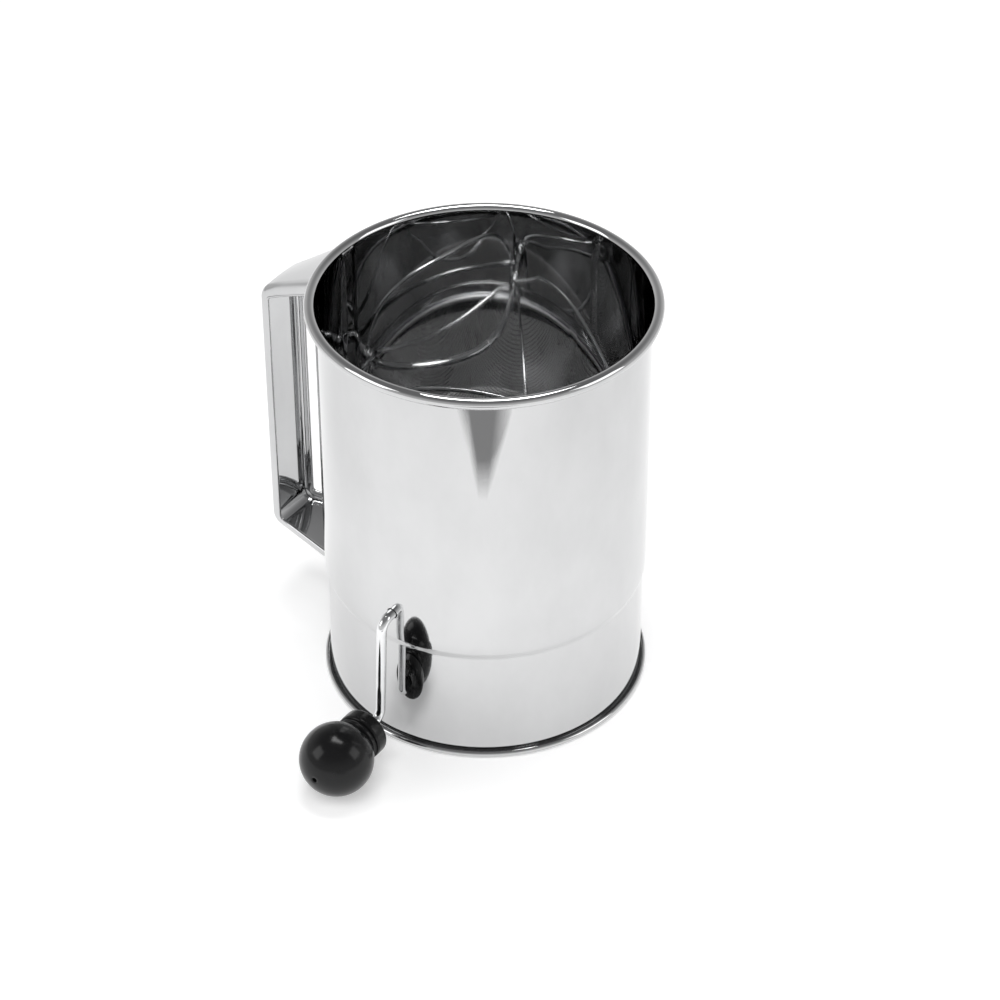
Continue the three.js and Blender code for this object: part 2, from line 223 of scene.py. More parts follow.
def cut(piece, *cutters):
    """Cuts each cutter out of the piece and removes the cutter."""
    for cutter in cutters:
        modifier = piece.modifiers.new("cut", "BOOLEAN")
        modifier.operation = "DIFFERENCE"
        modifier.solver = "EXACT"
        modifier.object = cutter
        bpy.context.view_layer.update()
        evaluated = piece.evaluated_get(bpy.context.evaluated_depsgraph_get())
        mesh = bpy.data.meshes.new_from_object(evaluated)
        piece.modifiers.clear()
        piece.data = mesh
        bpy.data.objects.remove(cutter)


def join(piece, *others):
    """Adds the other objects' meshes to the piece's mesh."""
    shape = bmesh.new()
    shape.from_mesh(piece.data)
    for other in others:
        shape.from_mesh(other.data)
        bpy.data.objects.remove(other)
    shape.to_mesh(piece.data)
    shape.free()


def cylinder_cutter(centre, direction, radius, length, sides=96):
    shape = bmesh.new()
    bmesh.ops.create_cone(
        shape, cap_ends=True, segments=sides, radius1=radius, radius2=radius, depth=length
    )
    mesh = bpy.data.meshes.new("cutter")
    shape.to_mesh(mesh)
    shape.free()
    cutter = bpy.data.objects.new("cutter", mesh)
    bpy.context.scene.collection.objects.link(cutter)
    turn = Vector((0, 0, 1)).rotation_difference(Vector(direction))
    mesh.transform(Matrix.Translation(centre) @ turn.to_matrix().to_4x4())
    return cutter


# ---- Materials ----------------------------------------------------------------------------------

class Nodes:
    """Short ways to add and join the nodes of one material."""

    def __init__(self, name):
        self.material = bpy.data.materials.new(name)
        self.material.use_nodes = True
        self.tree = self.material.node_tree
        self.shader = self.tree.nodes["Principled BSDF"]

    def link(self, source, target):
        self.tree.links.new(source, target)

    def coordinates(self, scale):
        """Object coordinates, stretched by a scale along each axis."""
        place_node = self.tree.nodes.new("ShaderNodeTexCoord")
        mapping = self.tree.nodes.new("ShaderNodeMapping")
        mapping.inputs["Scale"].default_value = scale
        self.link(place_node.outputs["Object"], mapping.inputs["Vector"])
        return mapping.outputs["Vector"]

    def noise(self, scale, size, detail=4.0, roughness=0.6):
        node = self.tree.nodes.new("ShaderNodeTexNoise")
        node.inputs["Scale"].default_value = size
        node.inputs["Detail"].default_value = detail
        node.inputs["Roughness"].default_value = roughness
        self.link(self.coordinates(scale), node.inputs["Vector"])
        return node.outputs["Fac"]

    def ramp(self, source, low, high, from_low=0.3, from_high=0.7):
        """Maps the source from one range to another, held at the ends."""
        node = self.tree.nodes.new("ShaderNodeMapRange")
        node.inputs["From Min"].default_value = from_low
        node.inputs["From Max"].default_value = from_high
        node.inputs["To Min"].default_value = low
        node.inputs["To Max"].default_value = high
        self.link(source, node.inputs["Value"])
        return node.outputs["Result"]

    def blend_colours(self, factor, first, second):
        """A colour mix: its inputs 6 and 7 are the colours, and its output 2 is the blend."""
        node = self.tree.nodes.new("ShaderNodeMix")
        node.data_type = "RGBA"
        node.inputs[6].default_value = (*first, 1)
        node.inputs[7].default_value = (*second, 1)
        self.link(factor, node.inputs[0])
        return node.outputs[2]

    def total(self, *sources):
        result = sources[0]
        for source in sources[1:]:
            node = self.tree.nodes.new("ShaderNodeMath")
            node.operation = "ADD"
            self.link(result, node.inputs[0])
            self.link(source, node.inputs[1])
            result = node.outputs[0]
        return result

    def bump(self, height, distance, strength=1.0):
        node = self.tree.nodes.new("ShaderNodeBump")
        node.inputs["Distance"].default_value = distance
        node.inputs["Strength"].default_value = strength
        self.link(height, node.inputs["Height"])
        self.link(node.outputs["Normal"], self.shader.inputs["Normal"])


def sheet_steel(name, light, dark, polish=0.025):
    """Mirror-polished sheet: fine upright drawing marks, faint waves, and handling haze."""
    nodes = Nodes(name)
    nodes.shader.inputs["Metallic"].default_value = 1
    marks = nodes.noise((1, 1, 0.02), 2600)
    haze = nodes.noise((1, 1, 0.6), 38, detail=6)
    waves = nodes.noise((1, 1, 0.35), 22, detail=2)
    cast = nodes.noise((1, 1, 0.25), 17, detail=1)
    tint = nodes.ramp(nodes.total(haze, cast, cast), 0, 1, 1.05, 1.95)
    nodes.link(nodes.blend_colours(tint, dark, light), nodes.shader.inputs["Base Color"])
    fine = nodes.ramp(marks, 0, polish)
    smear = nodes.ramp(haze, polish / 2, polish * 1.8, 0.42, 0.72)
    nodes.link(nodes.total(fine, smear), nodes.shader.inputs["Roughness"])
    nodes.bump(nodes.total(nodes.ramp(marks, 0, 0.02), nodes.ramp(waves, 0, 1)), 0.00003, 0.6)
    return nodes.material


def bright_wire(name, light, dark, polish):
    """Drawn wire: fine scratches along no one direction, duller patches where it is handled."""
    nodes = Nodes(name)
    nodes.shader.inputs["Metallic"].default_value = 1
    marks = nodes.noise((1, 1, 1), 3200)
    patches = nodes.noise((1, 1, 1), 160, detail=5)
    nodes.link(nodes.blend_colours(patches, dark, light), nodes.shader.inputs["Base Color"])
    fine = nodes.ramp(marks, 0, polish)
    smear = nodes.ramp(patches, polish, polish * 2.2)
    nodes.link(nodes.total(fine, smear), nodes.shader.inputs["Roughness"])
    nodes.bump(nodes.ramp(marks, 0, 1), 0.000004, 0.5)
    return nodes.material


def gauze_metal(name):
    """Fine woven wire with a dusting in its weave, its colour painted far darker and greyer than the
    sheet as the shade inside the can.
    """
    nodes = Nodes(name)
    nodes.shader.inputs["Metallic"].default_value = 1
    tint = nodes.noise((1, 1, 1), 90, detail=5)
    # Painted shade: both weave colours are kept very dark to stand for the shade inside the can.
    colour = nodes.blend_colours(tint, (0.11, 0.11, 0.112), (0.19, 0.19, 0.194))
    nodes.link(colour, nodes.shader.inputs["Base Color"])
    nodes.link(nodes.ramp(tint, 0.22, 0.38), nodes.shader.inputs["Roughness"])
    return nodes.material


def gloss_black(name):
    """Moulded gloss plastic: faint flow marks and fine handling scratches under the shine."""
    nodes = Nodes(name)
    nodes.shader.inputs["IOR"].default_value = 1.46
    nodes.shader.inputs["Specular IOR Level"].default_value = 0.3
    flow = nodes.noise((1, 1, 1), 140, detail=5)
    scratches = nodes.noise((0.15, 1, 1), 1900)
    colour = nodes.blend_colours(flow, (0.004, 0.004, 0.0043), (0.009, 0.009, 0.0095))
    nodes.link(colour, nodes.shader.inputs["Base Color"])
    rough = nodes.total(nodes.ramp(flow, 0.13, 0.2), nodes.ramp(scratches, 0, 0.05))
    nodes.link(rough, nodes.shader.inputs["Roughness"])
    nodes.bump(nodes.total(flow, nodes.ramp(scratches, 0, 0.15)), 0.00002, 0.35)
    return nodes.material


STEEL = sheet_steel("polished_sheet", (0.62, 0.622, 0.625), (0.515, 0.517, 0.52))
HANDLE_STEEL = sheet_steel("polished_strap", (0.62, 0.623, 0.627), (0.5, 0.503, 0.507), 0.05)
INNER_STEEL = sheet_steel("hoop_sheet", (0.62, 0.62, 0.63), (0.52, 0.52, 0.53), 0.09)
ROD_STEEL = bright_wire("crank_wire", (0.84, 0.845, 0.85), (0.74, 0.745, 0.75), 0.04)
BOW_STEEL = bright_wire("agitator_wire", (0.86, 0.865, 0.87), (0.74, 0.745, 0.75), 0.09)
BEAD_STEEL = bright_wire("bead_steel", (0.9, 0.905, 0.91), (0.8, 0.805, 0.81), 0.2)
FITTING_STEEL = bright_wire("fitting_steel", (0.66, 0.665, 0.67), (0.55, 0.555, 0.56), 0.12)
GAUZE_PAINTED_SHADE = gauze_metal("woven_wire_painted_shade")
BLACK = gloss_black("gloss_black_plastic")


# ---- Can ----------------------------------------------------------------------------------------

COLUMNS = 288
ROW_STEP = 4 * MM
RIM_CURL_END = -118
FOOT_CURL_END = 432
SEAM_HALF = 3.4 * MM
SEAM_STEP = 0.35 * MM
WELD_R = 2.4 * MM
WELD_DEPTH = 0.28 * MM
WELD_HEIGHTS = (136 * MM, 149 * MM)
WELD_OFFSETS = (-13 * MM, 13 * MM)
WELD_MARGIN = 4 * MM


def spread(low, high, step):
    """Even values from low to high, about a step apart."""
    count = max(1, round((high - low) / step))
    return [low + (high - low) * i / count for i in range(count + 1)]


def barrel_section():
    """(radius, height) points: up the outside from the rolled foot, round the rim, down the inside. The
    rows stand closer round the spot welds."""
    rim = (RIM_R - RIM_CURL, HEIGHT - RIM_CURL)
    foot = (SKIRT_R - SHEET + FOOT_CURL, FOOT_CURL)
    inner_wall = WALL_R - SHEET
    inner_skirt = SKIRT_R - SHEET
    ease = 0.35 * MM
    soft = 0.02 * MM
    inner_soft = 0.12 * MM
    above_foot = 2 * FOOT_CURL + 0.6 * MM
    below_rim = HEIGHT - 2 * RIM_CURL - 1.2 * MM
    rise = SHOULDER_HIGH - SHOULDER_LOW
    slope = (WALL_R - SKIRT_R - 2 * soft) / rise
    weld_low = WELD_HEIGHTS[0] - WELD_MARGIN
    weld_high = WELD_HEIGHTS[1] + WELD_MARGIN
    outside = [(SKIRT_R, z) for z in spread(above_foot, SHOULDER_LOW - 2 * ease, ROW_STEP)]
    outside += [(SKIRT_R, SHOULDER_LOW - ease / 2), (SKIRT_R + soft, SHOULDER_LOW)]
    outside += [(SKIRT_R + soft + slope * z, SHOULDER_LOW + z) for z in spread(0, rise, MM)[1:]]
    outside += [(WALL_R, z) for z in spread(SHOULDER_HIGH + ease / 2, weld_low, ROW_STEP)]
    outside += [(WALL_R, z) for z in spread(weld_low, weld_high, MM)[1:]]
    outside += [(WALL_R, below_rim)]
    under_rim = arc(rim, RIM_CURL - SHEET, 180, RIM_CURL_END, 26)
    over_rim = arc(rim, RIM_CURL, RIM_CURL_END, 180, 32)
    inside = [(inner_wall, z) for z in spread(weld_high, weld_low, MM)]
    inside += [(inner_wall, z) for z in spread(weld_low, SHOULDER_HIGH + 2 * ease, ROW_STEP)[1:]]
    inside += [(inner_wall - soft, SHOULDER_HIGH), (inner_wall - inner_soft, SHOULDER_HIGH - 2 * ease)]
    inside += [(inner_skirt + inner_soft, SHOULDER_LOW), (inner_skirt, SHOULDER_LOW - 2 * ease)]
    inside += [(inner_skirt, z) for z in spread(SHOULDER_LOW - 3 * ease, foot[1] + 0.8 * MM, ROW_STEP)]
    under_foot = arc(foot, FOOT_CURL, 180, FOOT_CURL_END, 24)
    inner_foot = arc(foot, FOOT_CURL - SHEET, FOOT_CURL_END, 180, 20)
    return outside + under_rim + over_rim + inside + under_foot + inner_foot


def weld_dent(x, y, z):
    """How far a spot weld draws the inner face in, at the wall towards -X."""
    if x > 0:
        return 0
    depth = 0
    for height in WELD_HEIGHTS:
        for offset in WELD_OFFSETS:
            distance = math.hypot(y - offset, z - height) / WELD_R
            if distance < 1:
                depth += WELD_DEPTH * (1 - distance**2) ** 2
    return depth


def barrel():
    piece = lathe("can_body", barrel_section(), COLUMNS, upright)
    inner = WALL_R - SHEET
    for vertex in piece.data.vertices:
        local = vertex.co - AXIS
        radius = math.hypot(local.x, local.y)
        on_inner_face = abs(radius - inner) < 0.01 * MM
        if local.x < 0 and on_inner_face:
            pull = weld_dent(local.x, local.y, local.z)
            if abs(local.y) < SEAM_HALF:
                pull += SEAM_STEP
            scale = (radius - pull) / radius
            vertex.co = AXIS + Vector((local.x * scale, local.y * scale, local.z))
    bore = cylinder_cutter(
        Vector((AXIS.x, AXIS.y, SHAFT.z)), (0, 1, 0), BORE_R, 2 * WALL_R + 8 * MM, 40
    )
    cut(piece, bore)
    finish_mesh(piece, STEEL, 30)
    return place(piece, "can", "polished_steel", "barrel")


def rim_wire():
    low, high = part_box("rim_wire")
    section_r = (high.z - low.z) / 2
    centre = ((high.x - low.x) / 2 - section_r, (low.z + high.z) / 2)
    piece = lathe("rim_wire_round", arc(centre, section_r, 0, 345, 23), 144, upright)
    finish_mesh(piece, FITTING_STEEL, 60)
    return place(piece, "can", "bright_wire", "rim_wire")


# ---- Screen -------------------------------------------------------------------------------------

RING_LOW, RING_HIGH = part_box("screen_clamp_ring")
HOOP_LOW, HOOP_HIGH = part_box("screen_hoop")
CLOTH_LOW, CLOTH_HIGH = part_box("screen_cloth")
BOWL_RIM_Z = CLOTH_HIGH.z - GAP
BOWL_RIM_R = 56.5 * MM
BOWL_DEPTH = BOWL_RIM_Z - CLOTH_LOW.z - GAP
BOWL_SPHERE_R = (BOWL_RIM_R**2 + BOWL_DEPTH**2) / (2 * BOWL_DEPTH)
BOWL_CENTRE_Z = BOWL_RIM_Z - BOWL_DEPTH + BOWL_SPHERE_R
WEAVE_PITCH = 1.3 * MM
WEAVE_WIRE = 0.17 * MM
WEAVE_LIFT = 0.62 * WEAVE_WIRE
CLOTH_EDGE = 0.8 * MM


def screen_hoop():
    outer_low = SKIRT_R - SHEET - GAP
    outer_high = (HOOP_HIGH.x - HOOP_LOW.x) / 2
    step = SHOULDER_HIGH + 0.4 * MM
    foot, top = HOOP_LOW.z, HOOP_HIGH.z
    roll = SHEET / 2
    bend = 0.6 * MM
    step_foot = step - 3 * MM
    section = [
        (outer_high, step),
        (outer_low, step_foot),
        (outer_low, foot + bend),
        (outer_low - bend / 3, foot + bend / 3),
        (outer_low - bend, foot),
        (BOWL_RIM_R + GAP, foot),
        (BOWL_RIM_R + GAP, foot + SHEET),
        (outer_low - SHEET - bend, foot + SHEET),
        (outer_low - SHEET - bend / 6, foot + SHEET + bend / 2),
        (outer_low - SHEET, step_foot),
        (outer_high - SHEET, step),
    ]
    section += arc((outer_high - roll, top - roll), roll, 180, 0, 8)
    piece = lathe("screen_hoop_round", section, 192, upright)
    finish_mesh(piece, INNER_STEEL, 30)
    return place(piece, "can", "polished_steel", "screen_hoop")


def screen_bead():
    outer = (RING_HIGH.x - RING_LOW.x) / 2
    inner = BOWL_RIM_R
    radius = (outer - inner) / 2
    broken = 0.2 * MM
    section = arc((inner + radius, RING_HIGH.z - radius), radius, 0, 180, 12)
    section += [(inner, RING_LOW.z + broken), (inner + broken, RING_LOW.z)]
    section += [(outer - broken, RING_LOW.z), (outer, RING_LOW.z + broken)]
    piece = lathe("screen_bead", section, 192, upright)
    finish_mesh(piece, BEAD_STEEL, 40)
    return place(piece, "can", "polished_steel", "screen_clamp_ring")


def bowl_height(r):
    return BOWL_CENTRE_Z - math.sqrt(BOWL_SPHERE_R**2 - r**2)


def weave_strand(offset, count, across, phase):
    """The points of one wire of the cloth: it runs over and under the wires that cross it."""
    points = []
    for i in range(-count, count + 1):
        along = i * WEAVE_PITCH
        r = math.hypot(offset, along)
        if r > BOWL_RIM_R + CLOTH_EDGE:
            continue
        height = bowl_height(min(r, BOWL_RIM_R))
        lift = WEAVE_LIFT * (1 if (i + phase) % 2 else -1)
        slope = Vector((offset, along, 0)) / BOWL_SPHERE_R
        out = Vector((slope.x, slope.y, -math.sqrt(max(0.05, 1 - slope.length_squared))))
        point = Vector((offset, along, height)) + out * lift
        if across:
            point = Vector((point.y, point.x, point.z))
        points.append(AXIS + point)
    return points


def strand_mesh(points, radius, sides, vertices, faces):
    """Adds one wire with flat ends to the lists."""
    first = len(vertices)
    for i, point in enumerate(points):
        along = direction_at(points, i)
        side = along.cross(Vector((0, 0, 1))).normalized()
        up = side.cross(along)
        for k in range(sides):
            a = 2 * math.pi * (k + 0.5) / sides
            vertices.append(point + (side * math.cos(a) + up * math.sin(a)) * radius)
    faces.extend(tube_faces(first, len(points), sides))


def screen_cloth():
    count = int(BOWL_RIM_R / WEAVE_PITCH) + 1
    vertices, faces = [], []
    for across in (False, True):
        for i in range(-count, count + 1):
            points = weave_strand(i * WEAVE_PITCH, count, across, i + across)
            if len(points) > 2:
                strand_mesh(points, WEAVE_WIRE, 4, vertices, faces)
    piece = new_object("woven_screen", vertices, faces)
    finish_mesh(piece, GAUZE_PAINTED_SHADE, 80)
    return place(piece, "can", "wire_cloth", "screen_cloth")


# ---- Crank and agitator, in the plane that the crank hangs in --------------------------------------

ARM = PIN - SHAFT
ARM_LENGTH = math.hypot(ARM.x, ARM.z)
TILT = math.atan2(-ARM.x, -ARM.z)
UP = Vector((math.sin(TILT), 0, math.cos(TILT)))
SIDE = Vector((math.cos(TILT), 0, -math.sin(TILT)))
BOWS = sorted(name for name in frame["nodes"] if name.startswith("agitator_bow_"))
BOW_WIRE = 1.1 * MM
BOW_ARC_R = 56.7 * MM
BOW_ARC_SET = 13.7 * MM
BOW_REST = 17.7
EYE_Y = 52 * MM
EYE_PITCH = 2.6 * MM
EYE_R = ROD_R + GAP + BOW_WIRE
EYE_START, EYE_END = -250, -20
RISER_LEAN = 2 * MM
ARM_Y = -67.25 * MM
ARM_BEND_R = 4.6 * MM
HEAD_R = 2.5 * MM
HEAD_LENGTH = 2 * MM


def from_shaft(y, height, side=0.0, turn=0.0):
    """A point in the crank's own frame, turned round the shaft by some degrees. y is along the row's
    Y axis from the can's axis."""
    a = math.radians(turn)
    up = UP * math.cos(a) + SIDE * math.sin(a)
    across = SIDE * math.cos(a) - UP * math.sin(a)
    return Vector((SHAFT.x, AXIS.y + y, SHAFT.z)) + up * height + across * side


def crank_rod():
    """One bent wire, with an upset head on the end that holds the knob."""
    low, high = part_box("crank_rod")
    pin_end = AXIS.y - low.y
    head_from = pin_end - HEAD_LENGTH
    back_chamfer, front_chamfer = 0.2 * MM, 0.4 * MM
    corners = [
        from_shaft(high.y - AXIS.y, 0),
        from_shaft(ARM_Y, 0),
        from_shaft(ARM_Y, -ARM_LENGTH),
        from_shaft(-head_from, -ARM_LENGTH),
    ]
    route = rounded(corners, [ARM_BEND_R, ARM_BEND_R], 20)
    piece = tube("crank_wire", route, ROD_R, 32)
    section = [
        (0, head_from), (HEAD_R - back_chamfer, head_from), (HEAD_R, head_from + back_chamfer),
        (HEAD_R, pin_end - front_chamfer), (HEAD_R - front_chamfer, pin_end), (0, pin_end),
    ]
    join(piece, lathe("pin_head", section, 32, along_pin))
    finish_mesh(piece, ROD_STEEL, 40)
    return place(piece, "crank", "bright_wire", "crank_rod")


def bow_reach(y):
    """How far a bow stands off the shaft at a place along it."""
    return math.sqrt(BOW_ARC_R**2 - y**2) - BOW_ARC_SET


def half_bow(eye_y, turn):
    """From an eye round the shaft, up its riser and along the bow to the middle."""
    points = []
    for a in np.radians(np.linspace(EYE_START, EYE_END, 25)):
        points.append(from_shaft(-eye_y, EYE_R * math.sin(a), EYE_R * math.cos(a), turn))
    start_y = eye_y - RISER_LEAN
    start_r = bow_reach(start_y)
    for t in np.linspace(0, 1, 9)[:-1]:
        across = EYE_R * (1 - t) * (1 - t) * (1 + 2 * t)
        points.append(from_shaft(-eye_y + RISER_LEAN * t**3, start_r * t, across, turn))
    for t in np.linspace(0, 1, 27)[:-1]:
        y = start_y * (1 - t)
        points.append(from_shaft(-y, bow_reach(y), 0, turn))
    return points


def agitator_bow(index, node):
    turn = BOW_REST + 90 * index
    eye_y = EYE_Y - index * EYE_PITCH
    front = half_bow(eye_y, turn)
    rear = [Vector((p.x, 2 * AXIS.y - p.y, p.z)) for p in front][::-1]
    points = front + [from_shaft(0, bow_reach(0), 0, turn)] + rear
    piece = tube(f"agitator_wire_{index + 1}", points, BOW_WIRE, 12)
    finish_mesh(piece, BOW_STEEL, 50)
    return place(piece, "crank", "bright_wire", node)


def sleeve(name, node, chamfer):
    """A plain sleeve or disc on the shaft, with its edges broken."""
    low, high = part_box(node)
    outer = (high.z - low.z) / 2
    start, end = AXIS.y - high.y, AXIS.y - low.y
    section = [
        (BORE_R, start), (outer - chamfer, start), (outer, start + chamfer),
        (outer, end - chamfer), (outer - chamfer, end), (BORE_R, end),
    ]
    piece = lathe(name, section, 48, along_shaft)
    finish_mesh(piece, FITTING_STEEL, 30)
    return place(piece, "crank", "polished_steel", node)


# ---- Knob ---------------------------------------------------------------------------------------

KNOB_FLANGE_R = 9.3 * MM
KNOB_FLANGE_LENGTH = 6.2 * MM
KNOB_EDGE_R = 1.5 * MM
KNOB_NECK_R = 8.1 * MM
KNOB_FILLET_R = 1.1 * MM
TIP_HOLE_R = MM
TIP_LIP_R = 1.25 * MM
CHAMBER_R = 2.8 * MM
CHAMBER_FROM, CHAMBER_TO = 26.2 * MM, 29.5 * MM


def knob():
    """A ball on a flanged neck, bored for the pin, with a chamber for the pin's head."""
    low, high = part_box("knob")
    ball_r = (high.z - low.z) / 2
    back = AXIS.y - high.y
    ball = AXIS.y - low.y - math.sqrt(ball_r**2 - TIP_HOLE_R**2)
    flange = back + KNOB_FLANGE_LENGTH
    rim_r = KNOB_FLANGE_R - KNOB_EDGE_R
    chamber_from, chamber_to = back + CHAMBER_FROM, back + CHAMBER_TO
    neck_angle = math.degrees(math.acos(KNOB_NECK_R / ball_r))
    tip_angle = math.degrees(math.acos(TIP_LIP_R / ball_r))
    fillet_centre = (KNOB_NECK_R + KNOB_FILLET_R, flange + KNOB_FILLET_R)
    section = arc((rim_r, back + KNOB_EDGE_R), KNOB_EDGE_R, -90, 0, 8)
    section += arc((rim_r, flange - KNOB_EDGE_R), KNOB_EDGE_R, 0, 90, 8)
    section += arc(fillet_centre, KNOB_FILLET_R, -90, -150, 4)
    section += arc((0, ball), ball_r, -neck_angle + 1.5, tip_angle, 46)
    section += [(TIP_HOLE_R, ball + ball_r * 0.985), (TIP_HOLE_R, chamber_to)]
    section += [(CHAMBER_R, chamber_to), (CHAMBER_R, chamber_from)]
    section += [(BORE_R, chamber_from), (BORE_R, back + GAP), (BORE_R + GAP, back)]
    piece = lathe("ball_knob", section, 96, along_pin)
    finish_mesh(piece, BLACK, 50)
    return place(piece, "knob", "black_knob", "knob")


# ---- Handle -------------------------------------------------------------------------------------

GRIP_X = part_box("handle_strap")[0].x - AXIS.x
STRAP = 0.8 * MM
FLANGE = 5 * MM
HEM = 0.75 * MM
GRIP_HALF = 11.2 * MM
TOP_ROOT_HALF = 23 * MM
LOW_ROOT_HALF = 17 * MM
TOP_WALL, TOP_CORNER = 161 * MM, 140 * MM
LOW_WALL, LOW_CORNER = 26.7 * MM, 29.7 * MM
CORNER_R = 6.5 * MM
BEND_R = 2.4 * MM
CROWN = 0.45 * MM
INTO_WALL = 6 * MM
CUT_CLEARANCE = 0.1 * MM
TAB_CORNER_R = 4 * MM
TAB_INSET = 2 * MM


def channel_half(half, inset):
    """From the middle of the web to a flange's edge."""
    bend = BEND_R - inset * 0.9
    web = [
        (x, inset + CROWN * (x / half) ** 2) for x in np.linspace(0.0, half - bend, 7)[1:]
    ]
    turn = arc((half - bend, inset + CROWN + bend), bend, -75, 0, 6)
    return web + turn + [(half, FLANGE - 2.2 * HEM), (half, FLANGE - 1.3 * HEM)]


def channel_section(half):
    """The strap's section at a given half width: (across, inward) points of a closed outline. The
    edges are hemmed into small beads."""
    outer_half = channel_half(half, 0)
    inner_half = channel_half(half - STRAP, STRAP)
    outer = [(-x, y) for x, y in reversed(outer_half)] + outer_half
    inner = inner_half[::-1] + [(-x, y) for x, y in inner_half]
    hem_right = arc((half - STRAP / 2, FLANGE - HEM), HEM, 0, 180, 8)
    hem_left = [(-x, y) for x, y in reversed(hem_right)]
    return outer + hem_right + inner + hem_left


def strap_stations():
    """Points down the strap's outer line, with the half width there and its inward normal."""
    wall = -WALL_R + INTO_WALL
    run = -WALL_R - GRIP_X
    top_rise = (TOP_WALL - TOP_CORNER) / run
    low_rise = (LOW_WALL - LOW_CORNER) / run
    corners = [
        (wall, 0, TOP_WALL + top_rise * INTO_WALL), (GRIP_X, 0, TOP_CORNER),
        (GRIP_X, 0, LOW_CORNER), (wall, 0, LOW_WALL + low_rise * INTO_WALL),
    ]
    route = rounded(corners, [CORNER_R, CORNER_R], 10)
    fine = []
    for a, b in zip(route, route[1:]):
        parts = max(1, round((b - a).length / (6 * MM)))
        fine += [a.lerp(b, i / parts) for i in range(parts)]
    fine.append(route[-1])
    stations = []
    middle = (TOP_CORNER + LOW_CORNER) / 2
    for i, point in enumerate(fine):
        along = direction_at(fine, i)
        inward = Vector((-along.z, 0, along.x))
        root = TOP_ROOT_HALF if point.z > middle else LOW_ROOT_HALF
        share = min(1, max(0, (point.x - GRIP_X - FLANGE) / (run - FLANGE)))
        stations.append((point, inward, GRIP_HALF + (root - GRIP_HALF) * share))
    return stations


def strap_band():
    """The channel swept down the strap's line, before its ends are cut to the can."""
    stations = strap_stations()
    rings = [channel_section(half) for _, _, half in stations]
    size = len(rings[0])
    vertices = []
    for (point, inward, _), ring in zip(stations, rings):
        for across, depth in ring:
            vertices.append(AXIS + point + inward * depth + Vector((0, across, 0)))
    piece = new_object("strap_handle", vertices, tube_faces(0, len(stations), size))
    shape = bmesh.new()
    shape.from_mesh(piece.data)
    bmesh.ops.remove_doubles(shape, verts=shape.verts, dist=1e-7)
    bmesh.ops.recalc_face_normals(shape, faces=shape.faces)
    bmesh.ops.triangulate(shape, faces=shape.faces)
    shape.to_mesh(piece.data)
    shape.free()
    return piece


def strap_tab(name, wall_r, half, low, high):
    """A tab rolled to the wall, with its lower corners rounded and its spot welds pressed in."""
    columns, rows = 48, 40
    near = wall_r + GAP
    vertices, faces = [], []
    for skin in (near, near + STRAP):
        for i in range(rows + 1):
            z = low + (high - low) * i / rows
            below = max(0, low + TAB_CORNER_R - z)
            inset = TAB_CORNER_R - math.sqrt(max(0, TAB_CORNER_R**2 - below**2))
            for k in range(columns + 1):
                s = (half - inset) * (2 * k / columns - 1)
                a = math.pi + s / wall_r
                dent = weld_dent(-1, -s, z) if skin > near else 0
                vertices.append(upright((skin - dent) * math.cos(a), (skin - dent) * math.sin(a), z))
    width = columns + 1
    layer = (rows + 1) * width
    for side in (0, layer):
        for i in range(rows):
            for k in range(columns):
                a = side + i * width + k
                faces.append((a, a + 1, a + width + 1, a + width))
    edge = list(range(width)) + [i * width + columns for i in range(1, rows + 1)]
    edge += [rows * width + k for k in range(columns - 1, -1, -1)]
    edge += [i * width for i in range(rows - 1, 0, -1)]
    for a, b in zip(edge, edge[1:] + edge[:1]):
        faces.append((a, b, b + layer, a + layer))
    return new_object(name, vertices, faces)


def handle():
    """The strap, cut off at the wall, the skirt and the rim, with its two tabs."""
    piece = strap_band()
    up = (0, 0, 1)
    wall_at, skirt_at, rim_at = [AXIS + Vector((0, 0, z)) for z in (130 * MM, 20 * MM, HEIGHT)]
    upper = cylinder_cutter(wall_at, up, WALL_R + CUT_CLEARANCE, 150 * MM, 192)
    lower = cylinder_cutter(skirt_at, up, SKIRT_R + CUT_CLEARANCE, 50 * MM, 192)
    rim = cylinder_cutter(
        rim_at, up, RIM_R + 1.5 * CUT_CLEARANCE, 4 * RIM_CURL + 4 * CUT_CLEARANCE, 192
    )
    cut(piece, upper, lower, rim)
    top_half, low_half = TOP_ROOT_HALF - TAB_INSET, LOW_ROOT_HALF - TAB_INSET
    top_tab = strap_tab("top_tab", WALL_R, top_half, TOP_WALL - 32 * MM, TOP_WALL - 2 * MM)
    low_tab = strap_tab("low_tab", SKIRT_R, low_half, LOW_WALL + 0.6 * MM, LOW_WALL + 17 * MM)
    join(piece, top_tab, low_tab)
    finish_mesh(piece, HANDLE_STEEL, 30)
    return place(piece, "can", "polished_steel", "handle_strap")


# ---- Stage, light and camera --------------------------------------------------------------------

VIEW_AZIMUTH = 34.0
VIEW_ELEVATION = 37.23
VIEW_DISTANCE = 1.1376
VIEW_ROLL = -0.26
LENS = 110.1
SHIFT = (0.0151, -0.01855)

FLOOR_GLOW = 0.33
SKY_LOW = (0.66, 0.66, 0.66, 1)
SKY_HIGH = (0.2, 0.2, 0.203, 1)

# Name, azimuth, elevation, distance, size, power, and whether shiny things mirror it. The two side
# boxes stand evenly round the view.
LIGHTS = [
    ("left_softbox", -41, 30, 1.6, (0.8, 0.8), 4, True),
    ("right_softbox", 109, 30, 1.6, (0.8, 0.8), 3.4, True),
    ("key_softbox", 20, 58, 1.5, (0.8, 0.8), 8, False),
    ("top_softbox", 200, 80, 1.2, (0.65, 0.42), 6.5, True),
]

